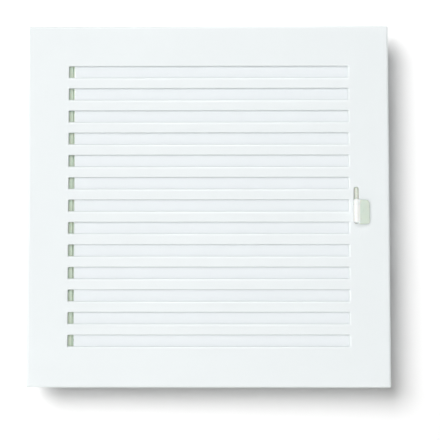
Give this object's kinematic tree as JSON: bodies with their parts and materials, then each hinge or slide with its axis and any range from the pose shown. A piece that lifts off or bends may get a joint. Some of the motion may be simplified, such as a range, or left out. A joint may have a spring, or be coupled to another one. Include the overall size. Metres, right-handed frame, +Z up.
{
  "type": "louvred air grille",
  "caption": "Square wall grille with tilting louvre blades behind a slotted plate, opened and closed by a small slider knob in the border.",
  "frame": {"origin": "centre of the plate on the plane of the wall, where the folded edge rests", "axes": "front faces -Y, +X to the right seen from the front, +Z up"},
  "size_m": [0.25, 0.026, 0.25],
  "materials": {
    "powder_coat": "satin white powder coat on steel sheet",
    "blade_coat": "satin white coat on thin steel",
    "cream_plastic": "satin moulded plastic, cream with a green cast",
    "spring_steel": "rolled spring steel",
    "zinc_plate": "zinc plated steel"
  },
  "bodies": {
    "grille_frame": {"front_plate": "powder_coat", "collar_left": "powder_coat", "collar_right": "powder_coat", "collar_top": "powder_coat", "collar_bottom": "powder_coat", "spring_clip_left_top": "spring_steel", "clip_rivet_left_top": "zinc_plate", "strip_screw_left_top": "zinc_plate", "spring_clip_left_bottom": "spring_steel", "clip_rivet_left_bottom": "zinc_plate", "strip_screw_left_bottom": "zinc_plate", "spring_clip_right_top": "spring_steel", "clip_rivet_right_top": "zinc_plate", "strip_screw_right_top": "zinc_plate", "spring_clip_right_bottom": "spring_steel", "clip_rivet_right_bottom": "zinc_plate", "strip_screw_right_bottom": "zinc_plate", "bearing_strip_left": "cream_plastic", "bearing_strip_right": "cream_plastic"},
    "control": {"link_bar": "cream_plastic", "slider_knob": "cream_plastic"},
    "louvre_01": {"louvre_blade_01": "blade_coat", "crank_cap_01": "cream_plastic"},
    "louvre_02": {"louvre_blade_02": "blade_coat", "crank_cap_02": "cream_plastic"},
    "louvre_03": {"louvre_blade_03": "blade_coat", "crank_cap_03": "cream_plastic"},
    "louvre_04": {"louvre_blade_04": "blade_coat", "crank_cap_04": "cream_plastic"},
    "louvre_05": {"louvre_blade_05": "blade_coat", "crank_cap_05": "cream_plastic"},
    "louvre_06": {"louvre_blade_06": "blade_coat", "crank_cap_06": "cream_plastic"},
    "louvre_07": {"louvre_blade_07": "blade_coat", "crank_cap_07": "cream_plastic"},
    "louvre_08": {"louvre_blade_08": "blade_coat", "crank_cap_08": "cream_plastic"},
    "louvre_09": {"louvre_blade_09": "blade_coat", "crank_cap_09": "cream_plastic"},
    "louvre_10": {"louvre_blade_10": "blade_coat", "crank_cap_10": "cream_plastic"},
    "louvre_11": {"louvre_blade_11": "blade_coat", "crank_cap_11": "cream_plastic"},
    "louvre_12": {"louvre_blade_12": "blade_coat", "crank_cap_12": "cream_plastic"},
    "louvre_13": {"louvre_blade_13": "blade_coat", "crank_cap_13": "cream_plastic"}
  },
  "joints": [
    {"name": "control_slide", "type": "slide", "parent": "grille_frame", "child": "control", "axis": [0, 0, 1], "range_m": [0, 0.00775]},
    {"name": "louvre_hinge_01", "type": "hinge", "parent": "grille_frame", "child": "louvre_01", "pos_m": [0, -0.001, 0.10075], "axis": [1, 0, 0], "range_deg": [0, 70]},
    {"name": "louvre_hinge_02", "type": "hinge", "parent": "grille_frame", "child": "louvre_02", "pos_m": [0, -0.001, 0.08525], "axis": [1, 0, 0], "range_deg": [0, 70]},
    {"name": "louvre_hinge_03", "type": "hinge", "parent": "grille_frame", "child": "louvre_03", "pos_m": [0, -0.001, 0.06975], "axis": [1, 0, 0], "range_deg": [0, 70]},
    {"name": "louvre_hinge_04", "type": "hinge", "parent": "grille_frame", "child": "louvre_04", "pos_m": [0, -0.001, 0.05425], "axis": [1, 0, 0], "range_deg": [0, 70]},
    {"name": "louvre_hinge_05", "type": "hinge", "parent": "grille_frame", "child": "louvre_05", "pos_m": [0, -0.001, 0.03875], "axis": [1, 0, 0], "range_deg": [0, 70]},
    {"name": "louvre_hinge_06", "type": "hinge", "parent": "grille_frame", "child": "louvre_06", "pos_m": [0, -0.001, 0.02325], "axis": [1, 0, 0], "range_deg": [0, 70]},
    {"name": "louvre_hinge_07", "type": "hinge", "parent": "grille_frame", "child": "louvre_07", "pos_m": [0, -0.001, 0.00775], "axis": [1, 0, 0], "range_deg": [0, 70]},
    {"name": "louvre_hinge_08", "type": "hinge", "parent": "grille_frame", "child": "louvre_08", "pos_m": [0, -0.001, -0.00775], "axis": [1, 0, 0], "range_deg": [0, 70]},
    {"name": "louvre_hinge_09", "type": "hinge", "parent": "grille_frame", "child": "louvre_09", "pos_m": [0, -0.001, -0.02325], "axis": [1, 0, 0], "range_deg": [0, 70]},
    {"name": "louvre_hinge_10", "type": "hinge", "parent": "grille_frame", "child": "louvre_10", "pos_m": [0, -0.001, -0.03875], "axis": [1, 0, 0], "range_deg": [0, 70]},
    {"name": "louvre_hinge_11", "type": "hinge", "parent": "grille_frame", "child": "louvre_11", "pos_m": [0, -0.001, -0.05425], "axis": [1, 0, 0], "range_deg": [0, 70]},
    {"name": "louvre_hinge_12", "type": "hinge", "parent": "grille_frame", "child": "louvre_12", "pos_m": [0, -0.001, -0.06975], "axis": [1, 0, 0], "range_deg": [0, 70]},
    {"name": "louvre_hinge_13", "type": "hinge", "parent": "grille_frame", "child": "louvre_13", "pos_m": [0, -0.001, -0.08525], "axis": [1, 0, 0], "range_deg": [0, 70]}
  ],
  "couplings": [
    {"joint": "louvre_hinge_01", "follows": "control_slide", "rad_per_m": 157.64},
    {"joint": "louvre_hinge_02", "follows": "control_slide", "rad_per_m": 157.64},
    {"joint": "louvre_hinge_03", "follows": "control_slide", "rad_per_m": 157.64},
    {"joint": "louvre_hinge_04", "follows": "control_slide", "rad_per_m": 157.64},
    {"joint": "louvre_hinge_05", "follows": "control_slide", "rad_per_m": 157.64},
    {"joint": "louvre_hinge_06", "follows": "control_slide", "rad_per_m": 157.64},
    {"joint": "louvre_hinge_07", "follows": "control_slide", "rad_per_m": 157.64},
    {"joint": "louvre_hinge_08", "follows": "control_slide", "rad_per_m": 157.64},
    {"joint": "louvre_hinge_09", "follows": "control_slide", "rad_per_m": 157.64},
    {"joint": "louvre_hinge_10", "follows": "control_slide", "rad_per_m": 157.64},
    {"joint": "louvre_hinge_11", "follows": "control_slide", "rad_per_m": 157.64},
    {"joint": "louvre_hinge_12", "follows": "control_slide", "rad_per_m": 157.64},
    {"joint": "louvre_hinge_13", "follows": "control_slide", "rad_per_m": 157.64}
  ]
}
